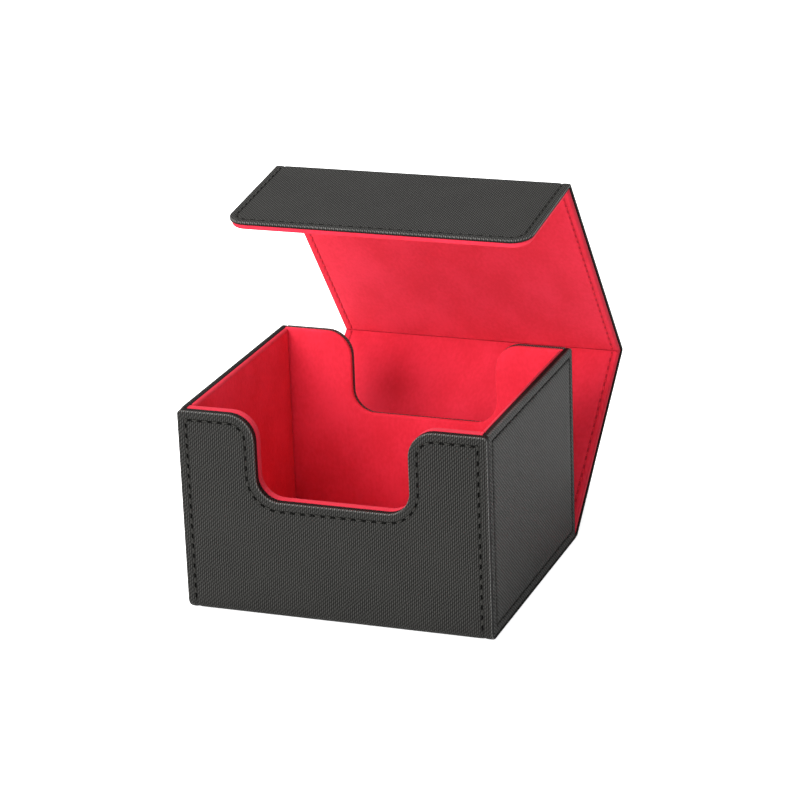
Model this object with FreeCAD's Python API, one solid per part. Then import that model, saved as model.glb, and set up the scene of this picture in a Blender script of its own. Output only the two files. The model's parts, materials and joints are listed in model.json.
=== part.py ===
import FreeCAD, Part
import math
import os

# Whole box, outside sizes. The origin is the middle of the tray's underside, the
# front of the tray faces -Y and +Z is up.
BOX_WIDTH = 106.0
BOX_DEPTH = 92.0
WALL_HEIGHT = 70.0
CLOSED_HEIGHT = 78.0
FLAP_LENGTH = 49.0

# Sheet thicknesses.
PU_SHEET = 0.8
SUEDE_SHEET = 0.6
WALL_BOARD = 1.6
WALL_PAD = 1.6
FRONT_PANEL = 3.0
FRONT_WALL = 4.0
LID_PANEL = 2.8
LID_SHEET = 1.2
FLAP_BOARD = 1.6
FLOOR_BOARD = 1.0

# Cut-out shared by the front panel, the front wall and the back wall.
NOTCH_HALF = 26.4
NOTCH_DEPTH = 29.0
SHOULDER_RADIUS = 9.0
FOOT_RADIUS = 8.0

# Rounding.
CORNER_RADIUS = 1.0
PU_EDGE_ROUND = 0.5
PAD_EDGE_ROUND = 0.9
LINING_EDGE_ROUND = 0.4
FRONT_BEND = 4.0
FLAP_CORNER = 7.0

# Folds: each one is a round bead on the turning axis, and the stiff panels stop
# short of it on both sides.
FOLD_BEAD = 1.35
FOLD_SETBACK = 1.7
FOLD_END_GAP = 1.0
LID_GAP_BACK = 0.5
LID_GAP_FRONT = 0.5

# Stitching lies in a groove parallel to the edge.
STITCH_INSET = 3.0
FLAP_STITCH_INSET = 2.5
THREAD_WIDTH = 0.5
THREAD_DEPTH = 0.4
LINING_THREAD_DEPTH = 0.3
LINING_INSET = 0.6

# Magnets.
MAGNET_RADIUS = 5.0
POCKET_RADIUS = 5.1
FLAP_MAGNET = 1.5
FRONT_MAGNET = 2.0
MAGNET_HALF_SPACING = 38.0
MAGNET_FROM_FLAP_EDGE = 12.0

# Open position: lean of the back panel from upright, then the two fold angles.
BACK_LEAN = 50.5
TOP_FOLD = 88.0
FLAP_FOLD = 60.0

# Derived planes of the tray.
HALF_WIDTH = BOX_WIDTH / 2
FRONT_Y = -BOX_DEPTH / 2
BACK_Y = BOX_DEPTH / 2
PANEL_BACK_Y = FRONT_Y + FRONT_PANEL
BAY_FRONT_Y = PANEL_BACK_Y + FRONT_WALL
BACK_WALL = PU_SHEET + WALL_BOARD + WALL_PAD
BAY_BACK_Y = BACK_Y - BACK_WALL
SIDE_CORE_X = HALF_WIDTH - PU_SHEET - WALL_BOARD
BAY_HALF = SIDE_CORE_X - WALL_PAD
BASE_TOP = LID_PANEL
SIDE_BOTTOM = PU_SHEET
FLOOR_TOP = BASE_TOP + FLOOR_BOARD

# Derived fold axes with the lid closed, and the lengths between them.
AXIS_DEPTH = LID_PANEL / 2
BASE_AXIS_Y = BACK_Y + LID_GAP_BACK + AXIS_DEPTH
BASE_AXIS_Z = AXIS_DEPTH
TOP_AXIS_Z = CLOSED_HEIGHT - AXIS_DEPTH
FLAP_PANEL = LID_SHEET + FLAP_BOARD + SUEDE_SHEET
FLAP_AXIS_Y = FRONT_Y - LID_GAP_FRONT - FLAP_PANEL + AXIS_DEPTH
BACK_SPAN = TOP_AXIS_Z - BASE_AXIS_Z
TOP_SPAN = BASE_AXIS_Y - FLAP_AXIS_Y
FLAP_SPAN = FLAP_LENGTH - AXIS_DEPTH
BASE_END_Y = BASE_AXIS_Y - FOLD_SETBACK

# Layers of a lid panel, measured from its fold axis towards the outside. The outer
# sheet counts double, because it is turned over at its edges.
LID_OUTER = AXIS_DEPTH
LID_BOARD_TOP = LID_OUTER - LID_SHEET
LID_INNER = -AXIS_DEPTH
LID_BOARD_BOTTOM = LID_INNER + SUEDE_SHEET
FLAP_BOARD_BOTTOM = LID_BOARD_TOP - FLAP_BOARD
FLAP_INNER = FLAP_BOARD_BOTTOM - SUEDE_SHEET

SAME_PLANE = 0.001


def vector(x, y, z):
    return FreeCAD.Vector(x, y, z)


def box(x0, x1, y0, y1, z0, z1):
    return Part.makeBox(x1 - x0, y1 - y0, z1 - z0, vector(x0, y0, z0))


def disc(x, z, radius, y0, y1):
    return Part.makeCylinder(radius, y1 - y0, vector(x, y0, z), vector(0, 1, 0))


def rounded_corner(before, here, after, y):
    """Start, middle and end of the arc that rounds one square corner."""
    x, z, radius = here
    point = vector(x, y, z)
    back = (vector(before[0], y, before[1]) - point).normalize()
    ahead = (vector(after[0], y, after[1]) - point).normalize()
    middle = point + (back + ahead) * (radius * (1 - math.sqrt(0.5)))
    return point + back * radius, middle, point + ahead * radius


def plate(corners, y0, y1):
    """Flat plate between y0 and y1 whose outline has square corners (x, z, radius)."""
    count = len(corners)
    arcs = []
    for index in range(count):
        after = corners[(index + 1) % count]
        arcs.append(rounded_corner(corners[index - 1], corners[index], after, y0))
    edges = []
    for index in range(count):
        start, middle, end = arcs[index]
        if corners[index][2] > 0:
            edges.append(Part.Arc(start, middle, end).toShape())
        edges.append(Part.makeLine(end, arcs[(index + 1) % count][0]))
    return Part.Face(Part.Wire(edges)).extrude(vector(0, y1 - y0, 0))


def side_plate(corners, x0, x1):
    """The same plate turned to stand across X, with corners given as (y, z, radius)."""
    standing = plate(corners, -x1, -x0)
    standing.rotate(vector(0, 0, 0), vector(0, 0, 1), 90)
    return standing


def smaller(radius, inset):
    return max(radius - inset, 0.0)


def notched(half, low, inset):
    """Outline of a wall with the cut-out in its top, shrunk by inset except below."""
    top = WALL_HEIGHT - inset
    side = half - inset
    notch = NOTCH_HALF + inset
    sill = WALL_HEIGHT - NOTCH_DEPTH - inset
    corner = smaller(CORNER_RADIUS, inset)
    shoulder = SHOULDER_RADIUS - inset
    foot = FOOT_RADIUS + inset
    return [
        (-side, low, 0.0),
        (side, low, 0.0),
        (side, top, corner),
        (notch, top, shoulder),
        (notch, sill, foot),
        (-notch, sill, foot),
        (-notch, top, shoulder),
        (-side, top, corner),
    ]


def side_outline(low, inset):
    """Outline of a side wall in (y, z), shrunk by inset except below."""
    corner = smaller(CORNER_RADIUS, inset)
    front = PANEL_BACK_Y + inset
    back = BACK_Y - inset
    top = WALL_HEIGHT - inset
    return [
        (front, low, 0.0),
        (back, low, 0.0),
        (back, top, corner),
        (front, top, corner),
    ]


def panel_outline(length, inset):
    """Outline of a lid panel between its two folds."""
    low = FOLD_SETBACK + inset
    high = length - FOLD_SETBACK - inset
    side = HALF_WIDTH - inset
    return [(-side, low, 0.0), (side, low, 0.0), (side, high, 0.0), (-side, high, 0.0)]


def flap_outline(inset, low_inset):
    """Outline of the closing flap with its two rounded free corners."""
    low = FOLD_SETBACK + low_inset
    high = FLAP_SPAN - inset
    side = HALF_WIDTH - inset
    corner = FLAP_CORNER - inset
    return [
        (-side, low, 0.0),
        (side, low, 0.0),
        (side, high, corner),
        (-side, high, corner),
    ]


def edges_on_y(shape, y, above):
    """Edges that lie in the plane y and stay higher than z = above."""
    found = []
    for edge in shape.Edges:
        bounds = edge.BoundBox
        flat = abs(bounds.YMin - y) < SAME_PLANE and abs(bounds.YMax - y) < SAME_PLANE
        if flat and bounds.ZMin > above - SAME_PLANE:
            found.append(edge)
    return found


def edges_on_x(shape, x, above):
    """Edges that lie in the plane x and stay higher than z = above."""
    found = []
    for edge in shape.Edges:
        bounds = edge.BoundBox
        flat = abs(bounds.XMin - x) < SAME_PLANE and abs(bounds.XMax - x) < SAME_PLANE
        if flat and bounds.ZMin > above - SAME_PLANE:
            found.append(edge)
    return found


def edges_along_x(shape, y, z):
    """Straight edges that run left to right through the point y, z."""
    found = []
    for edge in shape.Edges:
        centre = edge.CenterOfMass
        if abs(centre.y - y) < SAME_PLANE and abs(centre.z - z) < SAME_PLANE:
            found.append(edge)
    return found


def mirrored(shape):
    return shape.mirror(vector(0, 0, 0), vector(1, 0, 0))


def front_thread():
    """Stitch line up the left edge, along the cut-out and down the right edge."""
    half = THREAD_WIDTH / 2
    outer = notched(HALF_WIDTH, FRONT_BEND, STITCH_INSET - half)
    inner = notched(HALF_WIDTH, FRONT_BEND, STITCH_INSET + half)
    depth = FRONT_Y + THREAD_DEPTH
    return plate(outer, FRONT_Y, depth).cut(plate(inner, FRONT_Y, depth))


def front_magnets(radius, depth):
    """Discs behind the front panel, opposite the flap magnets of the closed lid."""
    z = TOP_AXIS_Z - FLAP_SPAN + MAGNET_FROM_FLAP_EDGE
    y = FRONT_Y + PU_SHEET
    left = disc(-MAGNET_HALF_SPACING, z, radius, y, y + depth)
    return Part.makeCompound([left, mirrored(left)])


def wrap_sheet():
    """Outer sheet: front panel face, bend under the front edge, and the base."""
    front = plate(notched(HALF_WIDTH, 0.0, 0.0), FRONT_Y, PANEL_BACK_Y)
    base = box(-HALF_WIDTH, HALF_WIDTH, FRONT_Y, BASE_END_Y, 0, BASE_TOP)
    body = front.fuse(base).removeSplitter()
    body = body.makeFillet(FRONT_BEND, edges_along_x(body, FRONT_Y, 0.0))
    body = body.makeFillet(PU_EDGE_ROUND, edges_on_y(body, FRONT_Y, FRONT_BEND))
    body = body.cut(panel_core())
    body = body.cut(base_core())
    for rebate in side_rebates():
        body = body.cut(rebate)
    return body.cut(front_thread())


def side_rebates():
    """Steps along both sides of the base, in which the side walls stand on the bare sheet."""
    right = box(SIDE_CORE_X, HALF_WIDTH, PANEL_BACK_Y, BASE_END_Y, SIDE_BOTTOM, BASE_TOP)
    return right, mirrored(right)


def panel_core():
    """Space inside the front panel, filled by its board."""
    outline = notched(HALF_WIDTH, FRONT_BEND, PU_SHEET)
    return plate(outline, FRONT_Y + PU_SHEET, PANEL_BACK_Y)


def base_core():
    """Space inside the base, filled by its board."""
    front = FRONT_Y + FRONT_BEND
    end = BASE_END_Y - PU_SHEET
    return box(-SIDE_CORE_X, SIDE_CORE_X, front, end, PU_SHEET, BASE_TOP)


def front_panel_board():
    pockets = front_magnets(POCKET_RADIUS, FRONT_PANEL - PU_SHEET)
    return panel_core().cut(pockets)


def wall_core(low, y0, y1):
    return plate(notched(SIDE_CORE_X, low, PU_SHEET), y0, y1)


def front_wall_core():
    start = PANEL_BACK_Y + SUEDE_SHEET
    return wall_core(BASE_TOP, start, start + WALL_BOARD)


def front_wall_lining():
    """Padded lining of the front wall, turned over its top edge."""
    body = plate(notched(SIDE_CORE_X, BASE_TOP, 0.0), PANEL_BACK_Y, BAY_FRONT_Y)
    above = WALL_HEIGHT - NOTCH_DEPTH
    body = body.makeFillet(PAD_EDGE_ROUND, edges_on_y(body, BAY_FRONT_Y, above))
    return body.cut(front_wall_core())


def back_wall_core():
    end = BACK_Y - PU_SHEET
    return wall_core(BASE_TOP, end - WALL_BOARD, end)


def back_wall_cover():
    """Outer sheet of the back wall, turned over its top edge."""
    inner = BACK_Y - PU_SHEET - WALL_BOARD
    body = plate(notched(SIDE_CORE_X, BASE_TOP, 0.0), inner, BACK_Y)
    above = WALL_HEIGHT - NOTCH_DEPTH
    body = body.makeFillet(PU_EDGE_ROUND, edges_on_y(body, BACK_Y, above))
    return body.cut(back_wall_core())


def back_wall_lining():
    inner = BACK_Y - PU_SHEET - WALL_BOARD
    body = plate(notched(SIDE_CORE_X, BASE_TOP, 0.0), BAY_BACK_Y, inner)
    above = WALL_HEIGHT - NOTCH_DEPTH
    return body.makeFillet(PAD_EDGE_ROUND, edges_on_y(body, BAY_BACK_Y, above))


def side_core():
    """Space inside the left wall, filled by its board."""
    outline = side_outline(SIDE_BOTTOM, PU_SHEET)
    return side_plate(outline, PU_SHEET - HALF_WIDTH, -SIDE_CORE_X)


def side_thread():
    """Stitch line round all four sides of the left wall."""
    half = THREAD_WIDTH / 2
    near = STITCH_INSET - half
    far = STITCH_INSET + half
    x = THREAD_DEPTH - HALF_WIDTH
    outer = side_plate(side_outline(SIDE_BOTTOM + near, near), -HALF_WIDTH, x)
    inner = side_plate(side_outline(SIDE_BOTTOM + far, far), -HALF_WIDTH, x)
    return outer.cut(inner)


def side_cover():
    """Outer sheet of the left wall, turned over its board on three edges."""
    body = side_plate(side_outline(SIDE_BOTTOM, 0.0), -HALF_WIDTH, -SIDE_CORE_X)
    rounded = edges_on_x(body, -HALF_WIDTH, SIDE_BOTTOM)
    rounded = [edge for edge in rounded if edge.BoundBox.ZMax > SIDE_BOTTOM + SAME_PLANE]
    body = body.makeFillet(PU_EDGE_ROUND, rounded)
    body = body.cut(side_core())
    return body.cut(side_thread())


def side_lining():
    """Padded lining of the left wall, between the front and back walls."""
    body = box(-SIDE_CORE_X, -BAY_HALF, BAY_FRONT_Y, BAY_BACK_Y, BASE_TOP, WALL_HEIGHT)
    return body.makeFillet(PAD_EDGE_ROUND, edges_on_x(body, -BAY_HALF, WALL_HEIGHT))


def floor_sheet(z0, z1):
    return box(-BAY_HALF, BAY_HALF, BAY_FRONT_Y, BAY_BACK_Y, z0, z1)


def strip(x, length, y0, y1):
    """One straight run of thread along a lid panel."""
    half = THREAD_WIDTH / 2
    return box(x - half, x + half, y0, y1, FOLD_SETBACK, length - FOLD_SETBACK)


def cover_thread(length):
    x = HALF_WIDTH - STITCH_INSET
    left = strip(-x, length, LID_OUTER - THREAD_DEPTH, LID_OUTER)
    return Part.makeCompound([left, mirrored(left)])


def lining_thread(length):
    x = HALF_WIDTH - STITCH_INSET
    left = strip(-x, length, LID_INNER, LID_INNER + LINING_THREAD_DEPTH)
    within = plate(panel_outline(length, LINING_INSET), LID_INNER, LID_BOARD_BOTTOM)
    left = left.common(within)
    return Part.makeCompound([left, mirrored(left)])


def panel_thread(length):
    outside = cover_thread(length).Solids
    inside = lining_thread(length).Solids
    return Part.makeCompound(outside + inside)


def panel_board(length):
    outline = panel_outline(length, LINING_INSET + SUEDE_SHEET)
    return plate(outline, LID_BOARD_BOTTOM, LID_BOARD_TOP)


def panel_cover(length):
    body = plate(panel_outline(length, 0.0), LID_BOARD_TOP, LID_OUTER)
    body = body.makeFillet(PU_EDGE_ROUND, edges_on_y(body, LID_OUTER, 0.0))
    return body.cut(cover_thread(length))


def panel_lining(length):
    """Lining of a lid panel, turned round the edges of its board."""
    body = plate(panel_outline(length, LINING_INSET), LID_INNER, LID_BOARD_TOP)
    body = body.makeFillet(LINING_EDGE_ROUND, edges_on_y(body, LID_INNER, 0.0))
    body = body.cut(panel_board(length))
    return body.cut(lining_thread(length))


def flap_core():
    """Space inside the flap, filled by its board."""
    inset = LINING_INSET + SUEDE_SHEET
    return plate(flap_outline(inset, inset), FLAP_BOARD_BOTTOM, LID_BOARD_TOP)


def flap_magnets(radius, depth):
    z = FLAP_SPAN - MAGNET_FROM_FLAP_EDGE
    left = disc(-MAGNET_HALF_SPACING, z, radius, LID_BOARD_TOP - depth, LID_BOARD_TOP)
    return Part.makeCompound([left, mirrored(left)])


def flap_thread():
    """Stitch line along the three free edges of the flap."""
    half = THREAD_WIDTH / 2
    floor = LID_OUTER - THREAD_DEPTH
    outer = plate(flap_outline(FLAP_STITCH_INSET - half, 0.0), floor, LID_OUTER)
    inner = plate(flap_outline(FLAP_STITCH_INSET + half, 0.0), floor, LID_OUTER)
    return outer.cut(inner)


def flap_cover():
    body = plate(flap_outline(0.0, 0.0), LID_BOARD_TOP, LID_OUTER)
    body = body.makeFillet(PU_EDGE_ROUND, edges_on_y(body, LID_OUTER, 0.0))
    return body.cut(flap_thread())


def flap_board():
    return flap_core().cut(flap_magnets(POCKET_RADIUS, FLAP_BOARD))


def flap_lining():
    """Thick underside of the flap, which meets the front panel when closed."""
    outline = flap_outline(LINING_INSET, LINING_INSET)
    body = plate(outline, FLAP_INNER, LID_BOARD_TOP)
    body = body.makeFillet(PAD_EDGE_ROUND, edges_on_y(body, FLAP_INNER, 0.0))
    return body.cut(flap_core())


def fold_bead():
    """Rolled sheet on a fold axis, running left to right through the origin."""
    length = BOX_WIDTH - 2 * FOLD_END_GAP
    start = vector(-length / 2, 0, 0)
    return Part.makeCylinder(FOLD_BEAD, length, start, vector(1, 0, 0))


def placed(shape, y, z, lean):
    """Turn a panel built on its own axis by lean from upright and move it to y, z."""
    moved = shape.copy()
    moved.rotate(vector(0, 0, 0), vector(1, 0, 0), -lean)
    moved.translate(vector(0, y, z))
    return moved


def far_end(y, z, lean, span):
    angle = math.radians(lean)
    return y + span * math.sin(angle), z + span * math.cos(angle)


def tray_pieces():
    return {
        "front_base_cover": wrap_sheet(),
        "front_panel_board": front_panel_board(),
        "front_magnets": front_magnets(MAGNET_RADIUS, FRONT_MAGNET),
        "front_thread": front_thread(),
        "base_board": base_core(),
        "front_wall_board": front_wall_core(),
        "front_wall_lining": front_wall_lining(),
        "back_wall_board": back_wall_core(),
        "back_wall_cover": back_wall_cover(),
        "back_wall_lining": back_wall_lining(),
        "left_wall_board": side_core(),
        "left_wall_cover": side_cover(),
        "left_wall_lining": side_lining(),
        "left_wall_thread": side_thread(),
        "right_wall_board": mirrored(side_core()),
        "right_wall_cover": mirrored(side_cover()),
        "right_wall_lining": mirrored(side_lining()),
        "right_wall_thread": mirrored(side_thread()),
        "floor_board": floor_sheet(BASE_TOP, FLOOR_TOP),
        "floor_lining": floor_sheet(FLOOR_TOP, FLOOR_TOP + SUEDE_SHEET),
    }


def panel_pieces(name, length):
    return {
        name + "_cover": panel_cover(length),
        name + "_board": panel_board(length),
        name + "_lining": panel_lining(length),
        name + "_thread": panel_thread(length),
    }


def flap_pieces():
    return {
        "flap_cover": flap_cover(),
        "flap_board": flap_board(),
        "flap_lining": flap_lining(),
        "flap_magnets": flap_magnets(MAGNET_RADIUS, FLAP_MAGNET),
        "flap_thread": flap_thread(),
    }


def lid_pieces():
    """The three lid panels and their folds in the open position."""
    y, z = BASE_AXIS_Y, BASE_AXIS_Z
    lean = BACK_LEAN
    found = {"base_fold": placed(fold_bead(), y, z, lean)}
    for name, shape in panel_pieces("lid_back", BACK_SPAN).items():
        found[name] = placed(shape, y, z, lean)
    y, z = far_end(y, z, lean, BACK_SPAN)
    lean = lean - TOP_FOLD
    found["top_fold"] = placed(fold_bead(), y, z, lean)
    for name, shape in panel_pieces("lid_top", TOP_SPAN).items():
        found[name] = placed(shape, y, z, lean)
    y, z = far_end(y, z, lean, TOP_SPAN)
    lean = lean - FLAP_FOLD
    found["flap_fold"] = placed(fold_bead(), y, z, lean)
    for name, shape in flap_pieces().items():
        found[name] = placed(shape, y, z, lean)
    return found


def main():
    os.makedirs("parts", exist_ok=True)
    pieces = tray_pieces()
    pieces.update(lid_pieces())
    for name, shape in pieces.items():
        shape.exportStep("parts/" + name + ".step")


main()
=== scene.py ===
"""Looks of the card deck box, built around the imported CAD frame.

Panels are modelled in millimetres in their own coordinates, (across, along, height), where height 0
is the outer surface and the sheet lies below it. A placement turns these into metres in the frame.
"""

import json
import math

import bmesh
import bpy
import numpy as np
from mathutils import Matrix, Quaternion, Vector, noise
from mathutils.geometry import delaunay_2d_cdt


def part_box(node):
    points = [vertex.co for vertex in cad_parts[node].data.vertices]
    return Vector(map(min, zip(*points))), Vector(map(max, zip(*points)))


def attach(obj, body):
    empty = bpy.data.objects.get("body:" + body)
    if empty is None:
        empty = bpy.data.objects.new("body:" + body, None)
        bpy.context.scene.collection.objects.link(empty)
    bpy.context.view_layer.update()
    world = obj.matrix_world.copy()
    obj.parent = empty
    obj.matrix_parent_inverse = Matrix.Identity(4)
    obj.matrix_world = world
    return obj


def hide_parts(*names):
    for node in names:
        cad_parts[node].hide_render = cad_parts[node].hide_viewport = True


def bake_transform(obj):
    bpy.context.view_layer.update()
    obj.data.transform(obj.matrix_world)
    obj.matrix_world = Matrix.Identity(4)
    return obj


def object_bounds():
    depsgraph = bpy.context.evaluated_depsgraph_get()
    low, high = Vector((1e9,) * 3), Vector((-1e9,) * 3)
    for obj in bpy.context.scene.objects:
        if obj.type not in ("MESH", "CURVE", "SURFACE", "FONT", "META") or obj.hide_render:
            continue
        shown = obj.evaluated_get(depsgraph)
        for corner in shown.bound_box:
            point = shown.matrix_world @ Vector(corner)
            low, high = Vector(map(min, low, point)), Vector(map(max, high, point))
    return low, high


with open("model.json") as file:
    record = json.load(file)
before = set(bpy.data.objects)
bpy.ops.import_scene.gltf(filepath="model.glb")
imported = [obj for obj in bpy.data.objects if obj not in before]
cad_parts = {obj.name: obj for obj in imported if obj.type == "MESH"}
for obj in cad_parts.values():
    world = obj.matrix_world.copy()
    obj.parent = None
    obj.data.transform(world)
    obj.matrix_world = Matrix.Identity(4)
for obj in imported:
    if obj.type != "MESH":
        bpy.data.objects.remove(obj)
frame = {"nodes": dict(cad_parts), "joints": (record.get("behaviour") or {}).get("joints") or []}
cad_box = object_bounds()

MM = 0.001

# Cut-out in the front panel and in the front and back walls, as in the CAD source.
NOTCH_HALF = 26.4
NOTCH_DEPTH = 29.0
SHOULDER_RADIUS = 9.0
FOOT_RADIUS = 8.0

# Rounding of the panels' corners, the linings' corners, the bend to the base and the flap.
CORNER_RADIUS = 1.2
LINING_CORNER = 0.3
FRONT_BEND = 4.0
FLAP_CORNER = 7.0

# Direction of the flap at rest, in degrees from upright towards the front.
FLAP_LEAN = 97.5

# Levels in the lid panels, measured from the fold axes.
LID_OUTSIDE = 1.4
LID_SHEET_BACK = 0.2
LID_INSIDE = -1.4
FLAP_INSIDE = -2.0

# Length of a fold on each side of its axis, and how far the lid's linings stay inside the sheets.
FOLD_SETBACK = 1.7
LINING_INSET = 0.6

# Crease in a fold's lining: depth, width as a share of the fold, and the stations over which its
# painted shade spreads.
CREASE_DEPTH = 1.4
CREASE_WIDTH = 0.15
CREASE_STATIONS = 5.0

# The flap's padding thins within this distance of the fold axis.
FLAP_TAPER = 7.0

# The back wall's black sheet has a deeper cut-out than its lining by this much.
BACK_SHEET_SINK = 0.5

# Stitch lines: distance from the edge and between needle holes. The front is sewn above its bend.
STITCH_INSET = 3.0
FLAP_STITCH_INSET = 2.5
STITCH_PITCH = 3.5
SEWN_ABOVE = 0.5

# Threads: half their length in stitches, rise in the middle, radius and level of their ends.
STITCH_SHARE = 0.31
STITCH_ARCH = 0.25
THREAD_RADIUS = 0.26
TRAY_STITCH_LEVEL = -0.42
LID_STITCH_LEVEL = -0.34

# Sewn edges: how far the rounded edge ends below the welt, and the least gap between the two.
EDGE_DROP = 0.08
WELT_GAP = 0.04

# Depth of the valley along a stitch line.
TRAY_VALLEY = 0.36
LID_VALLEY = 0.28
FOLD_VALLEY = 0.08

# Depth of the trough under each thread, and its width in stitch insets.
TROUGH_DEPTH = 0.1
TROUGH_WIDTH = 0.14

# A point's seam coordinates are its stitch mark, a whole number at a needle hole, and its distance
# from the edge in stitch insets. These are for points without sewing and for points far inside.
NO_HOLE = 0.5
FAR_INSIDE = 6.0

# Distances used in place of the stitch inset at unsewn edges, to spread the edge colour further in:
# the painted shade of the red lining's edge, and the wear and painted highlight of the black sheet's
# top edge.
WIDE_RIM = 6.0
WORN_AND_LIT_TOP = 12.0

# Swelling of the panels: amount, and distance from the edge at which it sets in.
PULLED_FLAT = -0.04
PADDED = 0.05
SHEET_REACH = 5.0
PAD_REACH = 6.0
FLOOR_REACH = 8.0

# Unevenness of the glued sheets: size and height of the waves.
SHEET_WAVES = (30.0, 0.1)
LINING_WAVES = (22.0, 0.12)
FLOOR_WAVES = (20.0, 0.15)

# Mesh fineness: spacings, least gap between inner points and edges, and numbers of steps.
EDGE_SPACING = 0.8
FILL_SPACING = 2.6
BEND_SPACING = 0.65
EDGE_GAP = 0.55
MIN_RADIUS = 0.15
EDGE_STEPS = 5
FOLD_STEPS = 12
THREAD_RINGS = 9
THREAD_SIDES = 8
SHARP_ANGLE = 50.0

# Twill emboss of the leatherette: width and height of one lozenge.
TWILL_ACROSS = 1.44
TWILL_ALONG = 1.35

# The side walls' sheets are cut with the emboss mirrored and a little wider.
SIDE_WEAVE = -0.91

# Camera, in degrees, millimetres of lens and metres.
CAMERA_AZIMUTH = 20.75
CAMERA_ELEVATION = 19.58
CAMERA_ROLL = -2.18
CAMERA_TARGET = (-0.0038, 0.0293, 0.0518)
CAMERA_DISTANCE = 1.0465
CAMERA_LENS = 137.5
CAMERA_CLIP = 0.05

# Lamps: place and size in metres and power in watts, and the point that they all aim at.
LAMPS = {
    "key": ((-0.3, -1.1, 0.6), 0.62, 15.0),
    "fill": ((0.4, -1.05, 0.4), 0.6, 2.2),
    "top": ((-0.3, 0.1, 1.1), 0.7, 14.0),
}
LAMP_AIM = (0.0, 0.0, 0.05)

# Light of the surroundings, and the floor's glow as the camera and as the object sees it.
WORLD_STRENGTH = 0.54
FLOOR_GLOW = 0.7
FLOOR_LIGHT = 0.08

# Half size of the floor and its gap below the box, in metres.
FLOOR_HALF = 3.0
FLOOR_GAP = 0.0002


# ---- outlines


def left_of(direction):
    return np.array([-direction[1], direction[0]])


def turned(vector, angle):
    """The vector turned anticlockwise by an angle in radians."""
    c, s = math.cos(angle), math.sin(angle)
    return np.array([vector[0] * c - vector[1] * s, vector[0] * s + vector[1] * c])


def rectangle(low, high, radius):
    """Corners of a rectangle with equal rounding."""
    return [
        (low[0], low[1], radius),
        (high[0], low[1], radius),
        (high[0], high[1], radius),
        (low[0], high[1], radius),
    ]


class Outline:
    """Straight runs and rounded corners, with the inside on the left, that can be moved inwards."""

    def __init__(self, corners, closed=False, stitch_inset=STITCH_INSET, sewn_above=-math.inf):
        self.corners = [np.array(corner[:2], float) for corner in corners]
        self.radii = [corner[2] if len(corner) > 2 else 0.0 for corner in corners]
        self.closed = closed
        self.stitch_inset = stitch_inset
        self.sewn_above = sewn_above
        self.run_steps = self.count_run_steps()

    def directions(self, index):
        """Unit directions of the runs before and after a corner, None at an open end."""
        count = len(self.corners)
        before = self.corners[index] - self.corners[index - 1]
        after = self.corners[(index + 1) % count] - self.corners[index]
        before = before / np.linalg.norm(before)
        after = after / np.linalg.norm(after)
        if not self.closed and index == 0:
            before = None
        if not self.closed and index == count - 1:
            after = None
        return before, after

    def corner_arc(self, index, inset):
        """Points that round one corner of the outline after it has moved inwards."""
        before, after = self.directions(index)
        corner = self.corners[index]
        if before is None or after is None:
            only = after if before is None else before
            return [corner + inset * left_of(only)]
        n0, n1 = left_of(before), left_of(after)
        moved = corner + inset * (n0 + n1) / (1 + n0 @ n1)
        angle = math.atan2(before[0] * after[1] - before[1] * after[0], before @ after)
        side = math.copysign(1.0, angle)
        radius = max(self.radii[index] - side * inset, MIN_RADIUS)
        start = moved - before * radius * math.tan(abs(angle) / 2)
        centre = start + side * radius * n0
        steps = max(4, round(abs(angle) * (self.radii[index] + 1) / EDGE_SPACING))
        return [centre + turned(start - centre, angle * k / steps) for k in range(steps + 1)]

    def count_run_steps(self):
        """Number of steps along each straight run, which stays the same at every inset."""
        arcs = [self.corner_arc(i, 0.0) for i in range(len(self.corners))]
        follow = arcs[1:] + (arcs[:1] if self.closed else [])
        return [
            max(1, round(np.linalg.norm(b[0] - a[-1]) / EDGE_SPACING))
            for a, b in zip(arcs, follow)
        ]

    def at(self, inset):
        """Points of the outline moved inwards; a closed outline ends at its first point again."""
        arcs = [self.corner_arc(i, inset) for i in range(len(self.corners))]
        follow = arcs[1:] + (arcs[:1] if self.closed else [])
        points = []
        for arc, following, steps in zip(arcs, follow, self.run_steps):
            points += arc
            for k in range(1, steps):
                points.append(arc[-1] + (following[0] - arc[-1]) * k / steps)
        points += [arcs[0][0]] if self.closed else arcs[-1]
        return np.array(points)

    def marks(self):
        """Stitch mark of each point; needle holes lie at whole numbers."""
        points = self.at(self.stitch_inset)
        lengths = np.linalg.norm(np.diff(points, axis=0), axis=1)
        travelled = np.concatenate([[0.0], np.cumsum(lengths)])
        if self.closed:
            return travelled / travelled[-1] * round(travelled[-1] / STITCH_PITCH)
        sewn = travelled[points[:, 1] > self.sewn_above]
        count = round((sewn[-1] - sewn[0]) / STITCH_PITCH)
        share = (travelled - sewn[0]) / (sewn[-1] - sewn[0])
        return np.clip(share * count, NO_HOLE - 1, count + NO_HOLE)


def with_wrap(profile):
    """Adds the flat cloth distance from the edge to each (inset, height) of a profile."""
    wraps = [profile[-1][0]]
    for (i0, h0), (i1, h1) in zip(profile[-2::-1], profile[:0:-1]):
        wraps.append(wraps[-1] - math.hypot(i1 - i0, h1 - h0))
    return [(i, h, w) for (i, h), w in zip(profile, wraps[::-1])]


def rounded_edge(thickness, radius, back_radius):
    """Profile from the back of a sheet round its edge to the front, as (inset, height)."""
    quarter = [math.pi / 2 * k / EDGE_STEPS for k in range(EDGE_STEPS + 1)]
    back = [
        (back_radius * (1 - math.cos(a)), back_radius * (1 - math.sin(a)) - thickness)
        for a in reversed(quarter)
    ]
    front = [(radius * (1 - math.cos(a)), radius * (math.sin(a) - 1)) for a in quarter]
    return back + front


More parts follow.
